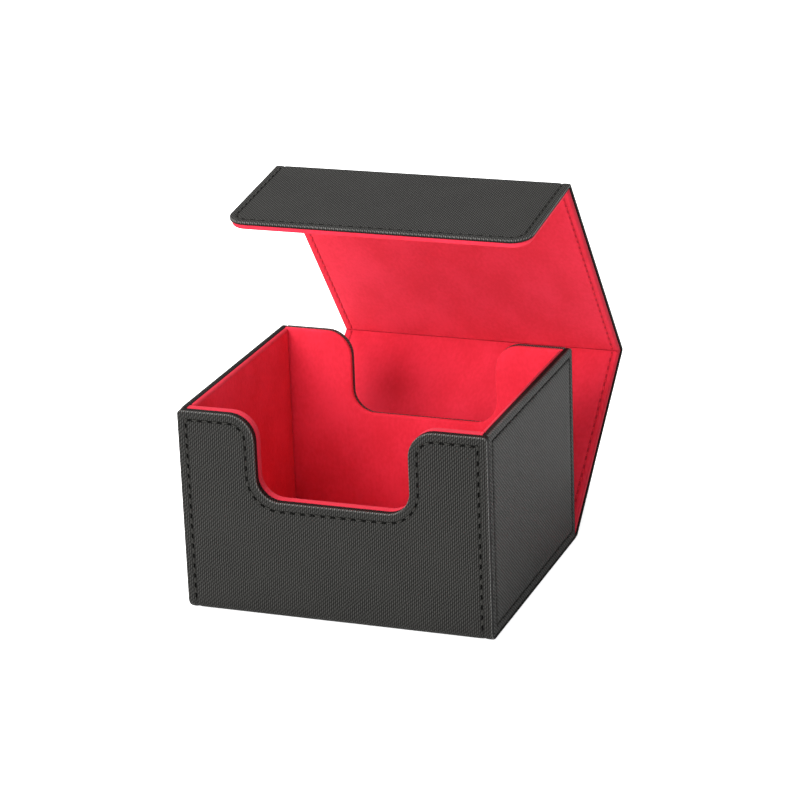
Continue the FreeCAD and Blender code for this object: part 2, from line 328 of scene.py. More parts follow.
def sewn_profile(thickness, stitch_inset, depth, radius, back_radius, level=0.0, start=0.0):
    """Profile of a sewn edge: rounded edge, padded welt, valley under the stitches, flat inside.

    The welt and the valley are given in stitch insets and shares of the valley's depth.
    """
    edge = [(i + start, h) for i, h in rounded_edge(thickness, radius, back_radius)]
    edge[-1] = (edge[-1][0], -EDGE_DROP)
    welt = [(0.37, 0.0), (0.55, 0.02), (0.72, -0.12), (0.85, -0.38), (0.93, -0.76)]
    valley = [(1.0, -1.0), (1.07, -0.76), (1.17, -0.4), (1.35, -0.17), (1.75, -0.02), (2.1, 0.0)]
    sewn = [(stitch_inset * share, height * depth) for share, height in welt + valley]
    sewn = [(i, h) for i, h in sewn if i > start + radius + WELT_GAP]
    return with_wrap([(i, h + level) for i, h in edge + sewn])


def plain_profile(thickness, radius, back_radius):
    """Profile of an edge without stitches or padding."""
    inside = [(radius + 1.0, 0.0), (radius + 2.5, 0.0)]
    return with_wrap(rounded_edge(thickness, radius, back_radius) + inside)


def padded_profile(thickness, radius, back_radius, drop, reach, level=0.0, start=0.0):
    """Profile of a padded lining: soft edge that rises by `drop` over `reach` from it."""
    edge = rounded_edge(thickness - drop, radius, back_radius)
    swell = [(radius + reach * t, drop * (1 - (1 - t) ** 2)) for t in (0.12, 0.3, 0.55, 1.0)]
    return with_wrap([(i + start, h + level - drop) for i, h in edge + swell])


# ---- meshes


def add_object(name, data):
    """A new object in the scene."""
    thing = bpy.data.objects.new(name, data)
    bpy.context.scene.collection.objects.link(thing)
    return thing


class Sheet:
    """Points and faces of one piece, with the cloth and seam coordinates of every point.

    Cloth coordinates are millimetres along the sheet as if it were laid out flat.
    """

    def __init__(self, weave_across=1.0):
        self.points = []
        self.weave = []
        self.seam = []
        self.faces = []
        self.weave_across = weave_across

    def add(self, across, along, height, weave, seam):
        """Adds one point and returns its number."""
        self.points.append((across, along, height))
        self.weave.append((weave[0] * self.weave_across, weave[1]))
        self.seam.append(seam)
        return len(self.points) - 1

    def join(self, *rows):
        """Quads between rows with the same number of points."""
        for low, high in zip(rows, rows[1:]):
            for k in range(len(low) - 1):
                self.faces.append([low[k], low[k + 1], high[k + 1], high[k]])

    def tube(self, rows):
        """Quads between closed rows, and a face at each end."""
        self.join(*rows)
        self.faces.append(rows[0][:-1])
        self.faces.append(rows[-1][:-1])

    def make(self, name, placement, material, body=None, replaces=(), slot=None):
        """The finished Blender object, with its material; the argument slot is not used.
        """
        mesh = bpy.data.meshes.new(name)
        mesh.from_pydata(placement(np.array(self.points)).tolist(), [], self.faces)
        corners = np.zeros(len(mesh.loops), np.int32)
        mesh.loops.foreach_get("vertex_index", corners)
        for layer, values in (("weave", self.weave), ("seam", self.seam)):
            uv = mesh.uv_layers.new(name=layer)
            uv.data.foreach_set("uv", np.array(values, np.float32)[corners].ravel())
        tidy_mesh(mesh)
        mesh.materials.append(material)
        piece = add_object(name, mesh)
        if body:
            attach(piece, body)
        if replaces:
            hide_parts(*replaces)
        return piece


def tidy_mesh(mesh):
    """Joins doubled points, turns all faces outwards and shades smoothly up to sharp edges."""
    work = bmesh.new()
    work.from_mesh(mesh)
    bmesh.ops.remove_doubles(work, verts=work.verts, dist=1e-6)
    bmesh.ops.dissolve_degenerate(work, dist=1e-7, edges=work.edges)
    bmesh.ops.recalc_face_normals(work, faces=work.faces)
    work.to_mesh(mesh)
    work.free()
    mesh.shade_smooth()
    mesh.set_sharp_from_angle(angle=math.radians(SHARP_ANGLE))
    mesh.update()


def inside_polygon(points, border):
    """True for the points inside a closed border."""
    x, y = points[:, :1], points[:, 1:]
    x0, y0 = border[:, 0], border[:, 1]
    x1, y1 = np.roll(x0, -1), np.roll(y0, -1)
    crosses = (y0 > y) != (y1 > y)
    reach = (x1 - x0) * (y - y0) / np.where(y1 == y0, 1e-12, y1 - y0) + x0
    return (crosses & (x < reach)).sum(axis=1) % 2 == 1


def distance_to(points, border):
    apart = np.linalg.norm(points[:, None, :] - border[None, :, :], axis=2)
    return np.min(apart, axis=1)


def waviness(across, along, waves, seed):
    """Small unevenness of a glued sheet."""
    size, height = waves
    return height * noise.noise(Vector((across / size, along / size, seed)))


def grid_inside(border, rows):
    """Grid points inside the border and clear of it."""
    low, high = border.min(axis=0), border.max(axis=0)
    columns = np.arange(low[0] + FILL_SPACING / 2, high[0], FILL_SPACING)
    if rows is None:
        rows = np.arange(low[1] + FILL_SPACING / 2, high[1], FILL_SPACING)
    grid = np.array([(x, y) for y in rows for x in columns])
    grid = grid[inside_polygon(grid, border)]
    away = distance_to(grid, border)
    return grid[away > EDGE_GAP], away[away > EDGE_GAP]


def fill(sheet, ring, rows, swell):
    """Fills a closed ring of points of the sheet with triangles that follow a smooth surface."""
    border = np.array([sheet.points[i][:2] for i in ring])
    grid, away = grid_inside(border, rows)
    base = sheet.points[ring[0]][2]
    indices = list(ring)
    for (x, y), d in zip(grid, away):
        indices.append(sheet.add(x, y, base + swell(x, y, d), (x, y), (0.0, FAR_INSIDE)))
    flat = [Vector(p) for p in border] + [Vector(p) for p in grid]
    edges = [(i, (i + 1) % len(ring)) for i in range(len(ring))]
    result = delaunay_2d_cdt(flat, edges, [], 1, 1e-5)
    source = [indices[originals[0]] for originals in result[3]]
    sheet.faces += [[source[i] for i in face] for face in result[2]]


def no_swell(across, along, away):
    return 0.0


def crowned(amount, reach, waves, seed):
    """A panel that swells by `amount` away from its edges and is slightly uneven."""

    def swell(across, along, away):
        lift = 1 - math.exp(-((max(away, 0.0) / reach) ** 2))
        return lift * (amount + waviness(across, along, waves, seed))

    return swell


def closing_points(outline, inset, rest):
    """Points in even steps from the end of an open outline through the rest corners to its start."""
    path, widest = outline.at(inset), outline.at(0.0)
    rest = [np.array(corner) for corner in rest]
    corners = [path[-1]] + rest + [path[0]]
    widest = [widest[-1]] + rest + [widest[0]]
    points = []
    for k in range(len(corners) - 1):
        steps = max(1, round(np.linalg.norm(widest[k + 1] - widest[k]) / FILL_SPACING))
        points += [corners[k] + (corners[k + 1] - corners[k]) * n / steps for n in range(steps)]
    return points[1:]


def plate(outline, profile, rest=(), rows=None, swell=no_swell, weave_across=1.0, sewn=True):
    """A closed panel: rings along the outline from its back to its front, both sides filled.

    An open outline is closed through the points in rest, where the panel has plain cut edges.
    """
    sheet = Sheet(weave_across)
    marks = outline.marks()
    rings = [add_ring(sheet, outline, line, marks, sewn) for line in profile]
    sheet.join(*rings)
    back = close_side(sheet, outline, rings[0], profile[0], rest, rows, no_swell)
    front = close_side(sheet, outline, rings[-1], profile[-1], rest, rows, swell)
    if not outline.closed:
        close_ends(sheet, rings, back, front)
    return sheet


def add_ring(sheet, outline, line, marks, sewn):
    """Adds the points of one line of a profile, (inset, height, wrap), along the outline."""
    inset, height, wrap = line
    distance = wrap / outline.stitch_inset
    dips = trough(distance, marks) if sewn else np.zeros_like(marks)
    ring = []
    for (x, y), cloth, mark, dip in zip(outline.at(inset), outline.at(wrap), marks, dips):
        seam = (mark if sewn else NO_HOLE, distance)
        ring.append(sheet.add(x, y, height - dip, cloth, seam))
    return ring


def close_side(sheet, outline, ring, line, rest, rows, swell):
    """Fills one side of a plate; returns the points added to close an open outline."""
    if outline.closed:
        fill(sheet, ring[:-1], rows, swell)
        return []
    inset, height = line[:2]
    flat = closing_points(outline, inset, rest)
    added = [sheet.add(x, y, height, (x, y), (0.0, FAR_INSIDE)) for x, y in flat]
    fill(sheet, ring + added, rows, swell)
    return added


def trough(distance, marks):
    """Depth that the pulled thread presses into the sheet, between the needle holes."""
    across = math.exp(-(((distance - 1) / TROUGH_WIDTH) ** 2))
    return TROUGH_DEPTH * across * (0.5 - 0.5 * np.cos(2 * np.pi * marks)) ** 1.5


def close_ends(sheet, rings, back, front):
    """Plain cut faces between the back and the front of an open outline."""
    start = [ring[0] for ring in rings]
    finish = [ring[-1] for ring in rings]
    sheet.faces.append(finish + [front[0], back[0]])
    sheet.faces.append(start + [front[-1], back[-1]])
    sheet.join(back, front)


def cross_section(half_width, profile, side=1.0):
    """Closed line across a strip with two equal edges, as (across, height, wrap, cloth)."""
    right = [(half_width - i, side * h, w, half_width - w) for i, h, w in profile]
    inner, level = right[-1][:2]
    count = round(2 * inner / FILL_SPACING)
    middle = [inner - 2 * inner * k / count for k in range(1, count)]
    middle = [(x, level, FAR_INSIDE * STITCH_INSET, x) for x in middle]
    left = [(-x, h, w, -c) for x, h, w, c in reversed(right)]
    return right + middle + left + right[:1]


def strip(section, stations, cloth_along, marks, swell=no_swell):
    """A cross-section swept through stations along the strip, with its two ends closed."""
    sheet = Sheet()
    rows = []
    length = cloth_along[-1] - cloth_along[0]
    for station, cloth, mark in zip(stations, cloth_along, marks):
        row = []
        for x, h, w, c in section:
            end = min(cloth - cloth_along[0], length + cloth_along[0] - cloth)
            distance = w / STITCH_INSET
            clear = min(end, abs(section[0][0]) - abs(x))
            rise = swell(x, cloth, clear) if distance == FAR_INSIDE else 0.0
            dip = float(trough(distance, mark))
            row.append(sheet.add(x, station, h + rise - dip, (c, cloth), (mark, distance)))
        rows.append(row)
    sheet.tube(rows)
    return sheet


def point_on(path, marks, mark):
    return np.array([np.interp(mark, marks, path[:, 0]), np.interp(mark, marks, path[:, 1])])


def add_stitch(sheet, path, marks, hole, height):
    """One short arched thread between a needle hole and the next one."""
    step = 0.02
    rows = []
    for t in np.linspace(-1, 1, THREAD_RINGS):
        mark = hole + 0.5 + STITCH_SHARE * t
        here = point_on(path, marks, mark)
        heading = point_on(path, marks, mark + step) - point_on(path, marks, mark - step)
        side = left_of(heading / np.linalg.norm(heading))
        radius = THREAD_RADIUS * math.sqrt(max(1 - abs(t) ** 5, 0.04))
        centre = height + STITCH_ARCH * (1 - t * t)
        row = []
        for turn in np.linspace(0, 1, THREAD_SIDES + 1):
            angle = 2 * math.pi * turn
            x, y = here + side * radius * math.cos(angle)
            z = centre + radius * math.sin(angle)
            row.append(sheet.add(x, y, z, (mark * STITCH_PITCH, turn), (mark, 0.0)))
        rows.append(row)
    sheet.tube(rows)


def stitches(runs, height):
    """Threads between all needle holes along each stitch line, given as (path, marks)."""
    rounding = 0.01
    sheet = Sheet()
    for path, marks in runs:
        for hole in range(math.floor(marks[-1] + rounding)):
            add_stitch(sheet, path, marks, hole, height)
    return sheet


# ---- placements


def flat_placement(origin, across, along, outward):
    """Places a flat panel whose axes are given in the frame; origin in millimetres."""
    axes = np.array([across, along, outward], float)
    return lambda points: (np.array(origin) + points @ axes) * MM


def cross_wall_placement(y, outward):
    """Places a wall that runs across the box, with its outer surface at y."""
    return flat_placement((0, y, 0), (1, 0, 0), (0, 0, 1), (0, outward, 0))


def side_wall_placement(x, outward):
    """Places a wall that runs from front to back, with its outer surface at x."""
    return flat_placement((x, 0, 0), (0, 1, 0), (0, 0, 1), (outward, 0, 0))


def front_placement(front, base_share):
    """Places the front and base sheet: upright above the bend, round the bend, then along the base.

    Round the bend the sheet thins to a share of its thickness, since it has no board below.
    """
    quarter = FRONT_BEND * math.pi / 2
    pivot = front + FRONT_BEND

    def place(points):
        x, v, h = points.T
        h = h * (1 - (1 - base_share) * np.clip(-v / quarter, 0, 1))
        angle = np.clip(-v / FRONT_BEND, 0, math.pi / 2)
        above = np.maximum(v, 0)
        under = np.maximum(-v - quarter, 0)
        y = pivot - (FRONT_BEND + h) * np.cos(angle) + under
        z = FRONT_BEND - (FRONT_BEND + h) * np.sin(angle) + above
        return np.stack([x, y, z], axis=1) * MM

    return place


def lid_placements(axis, direction):
    """Place the outside and the inside of a lid panel that runs from a fold axis."""
    origin = (0.0, axis[0], axis[1])
    along = (0.0, direction[0], direction[1])
    outward = np.array([0.0, direction[1], -direction[0]])
    return [flat_placement(origin, (1, 0, 0), along, side * outward) for side in (1.0, -1.0)]


def outward_of(direction):
    """Direction from the inside to the outside of a lid panel."""
    return np.array([direction[1], -direction[0]])


def round_line(axis, start, end, arc, level):
    """Points at one level round a fold axis, with the ends of the two panels that it joins."""
    middle = [axis + normal * level for normal in arc]
    return np.array([start + arc[0] * level] + middle + [end + arc[-1] * level])


class Fold:
    """The sheets where they bend softly round a fold axis, between the ends of two panels."""

    def __init__(self, axis, before, after):
        out_before, out_after = outward_of(before), outward_of(after)
        start, end = axis - before * FOLD_SETBACK, axis + after * FOLD_SETBACK
        cross = out_before[0] * out_after[1] - out_before[1] * out_after[0]
        angle = math.atan2(cross, out_before @ out_after)
        arc = [turned(out_before, angle * k / FOLD_STEPS) for k in range(FOLD_STEPS + 1)]
        self.outside = round_line(axis, start, end, arc, LID_OUTSIDE)
        self.between = round_line(axis, start, end, arc, LID_SHEET_BACK)
        middle = arc[FOLD_STEPS // 2]
        mitre = axis + middle * LID_INSIDE / math.cos(angle / 2)
        first = start + out_before * LID_INSIDE
        last = end + out_after * LID_INSIDE
        t = np.linspace(0, 1, len(self.outside))[:, None]
        curve = (1 - t) ** 2 * first + 2 * t * (1 - t) * mitre + t * t * last
        self.inside = curve + middle * crease(t)
        lengths = np.linalg.norm(np.diff(self.outside, axis=0), axis=1)
        self.cloth = np.concatenate([[0.0], np.cumsum(lengths)])

    def place(self, points):
        """Places a strip whose stations are the numbers of the fold's own points."""
        x, k, h = points.T
        k = k.round().astype(int)
        outer = ((h - LID_SHEET_BACK) / (LID_OUTSIDE - LID_SHEET_BACK))[:, None]
        inner = ((LID_SHEET_BACK - h) / (LID_SHEET_BACK - LID_INSIDE))[:, None]
        between = self.between[k]
        outwards = between + (self.outside[k] - between) * outer
        inwards = between + (self.inside[k] - between) * inner
        bent = np.where(h[:, None] > LID_SHEET_BACK, outwards, inwards)
        return np.column_stack([x, bent]) * MM


def crease(t):
    """Depth of the crease in the lining along a fold, with t from 0 to 1 across it."""
    return CREASE_DEPTH * np.exp(-(((t - 0.5) / CREASE_WIDTH) ** 2))


# ---- materials


class Nodes:
    """Short way to write the nodes of a material or the world."""

    def __init__(self, owner, shader="Principled BSDF"):
        owner.use_nodes = True
        self.owner = owner
        self.tree = owner.node_tree
        self.shader = self.tree.nodes[shader]

    def put(self, node, key, value):
        """Links an output to an input of the node, or sets the input to a plain value."""
        socket = node.inputs[key]
        if isinstance(value, bpy.types.NodeSocket):
            self.tree.links.new(value, socket)
        else:
            socket.default_value = value

    def add(self, kind, inputs, output=0, **settings):
        """A node with its settings and inputs, by name or number; returns one of its outputs."""
        node = self.tree.nodes.new(kind)
        for key, value in settings.items():
            setattr(node, key, value)
        for key, value in inputs.items():
            self.put(node, key, value)
        return node.outputs[output]

    def math(self, operation, *values):
        return self.add("ShaderNodeMath", dict(enumerate(values)), operation=operation)

    def vector(self, operation, *values):
        return self.add("ShaderNodeVectorMath", dict(enumerate(values)), operation=operation)

    def layer(self, name):
        """Coordinates kept with the mesh: "weave" for the cloth, "seam" for the stitching."""
        return self.add("ShaderNodeUVMap", {}, uv_map=name)

    def part(self, vector, number):
        return self.add("ShaderNodeSeparateXYZ", {0: vector}, output=number)

    def wave(self, value):
        """1 at whole numbers, 0 halfway between them."""
        cosine = self.math("COSINE", self.math("MULTIPLY", value, 2 * math.pi))
        return self.math("MULTIPLY_ADD", cosine, 0.5, 0.5)

    def noise(self, vector, scale, detail=2.0, output=0):
        inputs = {"Vector": vector, "Scale": scale, "Detail": detail}
        return self.add("ShaderNodeTexNoise", inputs, output)

    def mix(self, share, first, second):
        inputs = {0: share, 6: first, 7: second}
        return self.add("ShaderNodeMix", inputs, 2, data_type="RGBA")

    def fade(self, value, low, high, start=0.0, end=1.0):
        """Smooth change from start to end as value goes from low to high."""
        inputs = {0: value, 1: low, 2: high, 3: start, 4: end}
        return self.add("ShaderNodeMapRange", inputs, interpolation_type="SMOOTHSTEP")

    def bump(self, height, millimetres):
        """Normal of a surface whose height, from 0 to 1, stands for some millimetres."""
        inputs = {"Height": height, "Distance": millimetres * MM, "Strength": 1.0}
        return self.add("ShaderNodeBump", inputs)

    def seen(self, by_light, by_camera):
        """One value for rays from the camera and another one for all other rays."""
        ray = self.add("ShaderNodeLightPath", {}, "Is Camera Ray")
        return self.add("ShaderNodeMapRange", {0: ray, 3: by_light, 4: by_camera})

    def finish(self, **inputs):
        """Sets the shader's inputs, with underscores for spaces; returns the material or world."""
        for key, value in inputs.items():
            self.put(self.shader, key.replace("_", " "), value)
        return self.owner


def twill_height(nodes, weave):
    """Height of the twill emboss, 0 in the valleys and 1 on the ribs."""
    wander = nodes.vector("SUBTRACT", nodes.noise(weave, 0.3, output=1), (0.5, 0.5, 0.5))
    moved = nodes.vector("MULTIPLY_ADD", wander, (0.4, 0.4, 0.0), weave)
    across = nodes.math("DIVIDE", nodes.part(moved, 0), TWILL_ACROSS)
    along = nodes.math("DIVIDE", nodes.part(moved, 1), TWILL_ALONG)
    rib = nodes.wave(nodes.math("SUBTRACT", across, along))
    upright = nodes.wave(nodes.math("MULTIPLY", across, 2.0))
    cross = nodes.wave(nodes.math("ADD", across, along))
    height = nodes.math("MULTIPLY", rib, 0.33)
    height = nodes.math("MULTIPLY_ADD", upright, 0.5, height)
    height = nodes.math("MULTIPLY_ADD", cross, 0.17, height)
    return nodes.fade(height, 0.1, 0.9)


def stitch_shade(nodes, seam):
    """1 in the needle holes, 0 away from them."""
    here = nodes.fade(nodes.wave(nodes.part(seam, 0)), 0.35, 0.6)
    away = nodes.math("ABSOLUTE", nodes.math("SUBTRACT", nodes.part(seam, 1), 1.0))
    return nodes.math("MULTIPLY", here, nodes.fade(away, 0.08, 0.17, 1.0, 0.0))


def leatherette(name, groove_shade, light, worn_and_lit):
    """Charcoal imitation leather with a twill emboss and painted shade in its valleys, edges that
    are partly scuffed and partly painted highlight, and painted shade in the needle holes and under
    the turned edges.
    """
    nodes = Nodes(bpy.data.materials.new(name))
    weave = nodes.layer("weave")
    seam = nodes.layer("seam")
    twill = twill_height(nodes, weave)
    cloudy = nodes.noise(weave, 0.06, 3.0)
    grain = nodes.noise(weave, 3.5, 2.0)
    # Painted shade in the needle holes.
    holes = nodes.math("MULTIPLY", stitch_shade(nodes, seam), 0.85)
    edge = nodes.math("ABSOLUTE", nodes.math("ADD", nodes.part(seam, 1), 0.05))
    patchy = nodes.fade(cloudy, 0.3, 0.7, 0.6, 1.0)
    # Edge mask: partly real scuffing, partly painted highlight where light catches the rounded
    # edge's twill crests.
    rubbed_and_lit = nodes.math("MULTIPLY", nodes.fade(edge, 0.05, 0.17, 1.0, 0.0), patchy)
    # Painted shade in the twill's valleys; the ribs keep the lighter colour.
    colour = nodes.mix(twill, groove_shade, light)
    colour = nodes.mix(nodes.fade(cloudy, 0.35, 0.65, 0.0, 0.15), colour, light)
    # Lightens the twill crests near the edges: scuffing and painted highlight.
    colour = nodes.mix(nodes.math("MULTIPLY", rubbed_and_lit, twill), colour, worn_and_lit)
    # Painted shade on the back of the turned edge.
    under = nodes.fade(nodes.part(seam, 1), -0.35, -0.15, 0.65, 0.0)
    painted_shade = nodes.math("MAXIMUM", holes, under)
    colour = nodes.mix(painted_shade, colour, BLACK_PAINTED_SHADE)
    rough = nodes.math("MULTIPLY_ADD", twill, -0.14, 0.6)
    rough = nodes.math("MULTIPLY_ADD", rubbed_and_lit, -0.15, rough)
    rough = nodes.math("MULTIPLY_ADD", grain, 0.08, rough)
    height = nodes.math("MULTIPLY_ADD", grain, 0.1, twill)
    height = nodes.math("MULTIPLY_ADD", holes, -1.2, height)
    gloss = nodes.math("MULTIPLY_ADD", twill, 0.33, 0.06)
    clear = nodes.math("SUBTRACT", 1.0, painted_shade)
    return nodes.finish(
        Base_Color=colour,
        Roughness=rough,
        Specular_IOR_Level=nodes.math("MULTIPLY", gloss, clear),
        Normal=nodes.bump(height, 0.2),
    )


def microfibre(name, deep, bright, painted_edge_shade):
    """Brushed microfibre: short nap in lighter and darker strokes, with painted shade along its
    edges, in the fold creases and in the needle holes.
    """
    nodes = Nodes(bpy.data.materials.new(name))
    weave = nodes.layer("weave")
    seam = nodes.layer("seam")
    stretched = nodes.vector("MULTIPLY", weave, (1.0, 0.6, 1.0))
    patches = nodes.noise(stretched, 0.07, 3.0)
    strokes = nodes.noise(stretched, 0.9, 4.0)
    fibres = nodes.noise(weave, 7.0, 3.0)
    nap = nodes.math("MULTIPLY_ADD", patches, 0.6, nodes.math("MULTIPLY", strokes, 0.4))
    colour = nodes.mix(nodes.fade(nap, 0.35, 0.65), deep, bright)
    colour = nodes.mix(nodes.fade(fibres, 0.35, 0.7, 0.25, 0.0), colour, deep)
    # Painted shade along the lining's edges, and in the creases of the fold linings.
    painted_rim_shade = nodes.fade(nodes.part(seam, 1), 0.1, 0.5, 0.75, 0.0)
    colour = nodes.mix(painted_rim_shade, colour, painted_edge_shade)
    # Painted shade in the needle holes.
    holes = nodes.math("MULTIPLY", stitch_shade(nodes, seam), 0.55)
    colour = nodes.mix(holes, colour, RED_PAINTED_SHADE)
    height = nodes.math("MULTIPLY_ADD", strokes, 0.6, fibres)
    return nodes.finish(
        Base_Color=colour,
        Roughness=0.92,
        Specular_IOR_Level=0.15,
        Sheen_Weight=0.08,
        Sheen_Roughness=0.45,
        Sheen_Tint=(1.0, 0.35, 0.4, 1.0),
        Normal=nodes.bump(height, 0.06),
    )


def thread_material(name, colour):
    """Twisted sewing thread, with painted shade between its strands."""
    nodes = Nodes(bpy.data.materials.new(name))
    weave = nodes.layer("weave")
    around = nodes.math("MULTIPLY", nodes.part(weave, 1), 2.0)
    strand = nodes.wave(nodes.math("MULTIPLY_ADD", nodes.part(weave, 0), 1.6, around))
    # Painted shade in the grooves between the twisted strands.
    groove_shade = tuple(0.6 * c for c in colour[:3]) + (1.0,)
    fuzz = nodes.noise(weave, 6.0)
    return nodes.finish(
        Base_Color=nodes.mix(strand, groove_shade, colour),
        Roughness=nodes.math("MULTIPLY_ADD", fuzz, 0.2, 0.65),
        Specular_IOR_Level=0.15,
        Normal=nodes.bump(strand, 0.08),
    )


def board_material():
    """Grey compressed board with fibres."""
    nodes = Nodes(bpy.data.materials.new("core_board"))
    place = nodes.add("ShaderNodeTexCoord", {}, "Object")
    fibres = nodes.noise(place, 900.0, 4.0)
    colour = nodes.mix(fibres, (0.20, 0.18, 0.15, 1.0), (0.42, 0.39, 0.34, 1.0))
    return nodes.finish(Base_Color=colour, Roughness=0.9, Normal=nodes.bump(fibres, 0.05))


def magnet_material():
    """Nickel plated disc with fine scratches."""
    nodes = Nodes(bpy.data.materials.new("magnet"))
    place = nodes.add("ShaderNodeTexCoord", {}, "Object")
    scratches = nodes.noise(place, 1500.0, 3.0)
    return nodes.finish(
        Base_Color=(0.62, 0.61, 0.59, 1.0),
        Metallic=1.0,
        Roughness=nodes.math("MULTIPLY_ADD", scratches, 0.25, 0.2),
        Normal=nodes.bump(scratches, 0.01),
    )


def floor_material():
    """Matt white studio sweep, which looks whiter than the light it gives back."""
    nodes = Nodes(bpy.data.materials.new("studio_floor"))
    return nodes.finish(
        Base_Color=(0.95, 0.95, 0.95, 1.0),
        Roughness=0.9,
        Specular_IOR_Level=0.0,
        Emission_Color=(1.0, 1.0, 1.0, 1.0),
        Emission_Strength=nodes.seen(FLOOR_LIGHT, FLOOR_GLOW),
    )


# ---- the object

# Painted shade: colours put in the needle holes, and on the black sheets also under the turned
# edges.
BLACK_PAINTED_SHADE = (0.002, 0.002, 0.002, 1.0)
RED_PAINTED_SHADE = (0.16, 0.003, 0.008, 1.0)

# Black leatherette: the valley colour is painted shade; the edge colour is partly scuffing and
# partly painted highlight.
BLACK = leatherette(
    "black_leatherette",
    groove_shade=(0.003, 0.003, 0.0026, 1.0),
    light=(0.0215, 0.0208, 0.0184, 1.0),
    worn_and_lit=(0.13, 0.128, 0.122, 1.0),
)
# Red microfibre: the edge colour is painted shade along the edges and in the fold creases.
RED = microfibre(
    "red_microfibre",
    deep=(0.66, 0.022, 0.044, 1.0),
    bright=(0.77, 0.033, 0.067, 1.0),
    painted_edge_shade=(0.36, 0.017, 0.032, 1.0),
)
BLACK_THREAD = thread_material("black_thread", (0.034, 0.033, 0.030, 1.0))
RED_THREAD = thread_material("red_thread", (0.8, 0.03, 0.055, 1.0))
BOARD = board_material()
MAGNET = magnet_material()


def millimetres(node):
    low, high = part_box(node)
    return np.array(low) / MM, np.array(high) / MM


def notched_top(half_width, top, sink=0.0):
    """Corners of a top edge with the U-shaped cut-out, from right to left."""
    foot = top - NOTCH_DEPTH - sink
    right = [
        (half_width, top, CORNER_RADIUS),
        (NOTCH_HALF, top, SHOULDER_RADIUS),
        (NOTCH_HALF, foot, FOOT_RADIUS),
    ]
    return right + [(-x, z, radius) for x, z, radius in reversed(right)]


def make_sewing(name, runs, level, place, body, node):
    """Black threads along the stitch lines of a panel."""
    stitches(runs, level).make(name, place, BLACK_THREAD, body, [node])


def make_lining(body, node, outline, profile, swell, place, rest=(), shaded_edges=True):
    """Padded red lining, with painted shade along its edges unless that is turned off; then it looks
    the same up to its very edges.
    """
    sheet = plate(outline, profile, rest, swell=swell, sewn=False)
    if not shaded_edges:
        sheet.seam = [(NO_HOLE, FAR_INSIDE)] * len(sheet.points)
    sheet.make(node + "_soft", place, RED, body, [node])


def make_front():
    """Front panel, front bend and base as one sheet, with the stitch line of the front panel."""
    low, high = millimetres("front_base_cover")
    quarter = FRONT_BEND * math.pi / 2
    top = high[2] - FRONT_BEND
    base_end = -(quarter + high[1] - low[1] - FRONT_BEND)
    corners = [(high[0], base_end)] + notched_top(high[0], top) + [(low[0], base_end)]
    outline = Outline(corners, sewn_above=SEWN_ABOVE)
    gap = 1.5
    base_rows = np.arange(base_end + gap, -quarter - gap, FILL_SPACING)
    bend_rows = np.arange(-quarter - 0.5, 1.0, BEND_SPACING)
    front_rows = np.arange(FILL_SPACING, top, FILL_SPACING)
    rows = np.concatenate([base_rows, bend_rows, front_rows])
    thickness = millimetres("front_wall_lining")[0][1] - low[1]
    base_sheet = millimetres("base_board")[0][2]
    place = front_placement(low[1], base_sheet / thickness)
    profile = sewn_profile(thickness, STITCH_INSET, TRAY_VALLEY, radius=0.6, back_radius=0.3)
    swell = crowned(PULLED_FLAT, SHEET_REACH, SHEET_WAVES, seed=1.0)
    sheet = plate(outline, profile, rows=rows, swell=swell)
    sheet.make("front_and_base_cover", place, BLACK, "tray", ["front_base_cover"])
    runs = [(outline.at(STITCH_INSET), outline.marks())]
    make_sewing("front_stitching", runs, TRAY_STITCH_LEVEL, place, "tray", "front_thread")


def make_front_wall():
    """Padded red wall behind the front panel."""
    low, high = millimetres("front_wall_lining")
    # Spreads the painted shade along the lining's edge further in.
    outline = Outline(notched_top(high[0], high[2]), stitch_inset=WIDE_RIM)
    rest = [(low[0], low[2]), (high[0], low[2])]
    profile = padded_profile(high[1] - low[1], radius=1.3, back_radius=0.9, drop=0.15, reach=4.0)
    swell = crowned(PADDED, PAD_REACH, LINING_WAVES, seed=2.0)
    place = cross_wall_placement(high[1], 1)
    make_lining("tray", "front_wall_lining", outline, profile, swell, place, rest)


def make_back_wall():
    """Back wall: black sheet outside and over the top edge, padded red lining inside."""
    low, high = millimetres("back_wall_cover")
    corners = notched_top(high[0], high[2], BACK_SHEET_SINK)
    # Spreads the scuffing and painted highlight of the top edge further in.
    outline = Outline(corners, stitch_inset=WORN_AND_LIT_TOP)
    rest = [(low[0], low[2]), (high[0], low[2])]
    profile = plain_profile(high[1] - low[1], radius=0.7, back_radius=0.6)
    swell = crowned(0.0, PAD_REACH, SHEET_WAVES, seed=3.0)
    sheet = plate(outline, profile, rest, swell=swell, sewn=False)
    place = cross_wall_placement(high[1], 1)
    sheet.make("back_wall_sheet", place, BLACK, "tray", ["back_wall_cover"])

    low, high = millimetres("back_wall_lining")
    outline = Outline(notched_top(high[0], high[2]))
    profile = padded_profile(high[1] - low[1], radius=0.7, back_radius=0.2, drop=0.15, reach=5.0)
    swell = crowned(PADDED, PAD_REACH, LINING_WAVES, seed=4.0)
    place = cross_wall_placement(low[1], -1)
    make_lining("tray", "back_wall_lining", outline, profile, swell, place, rest, shaded_edges=False)


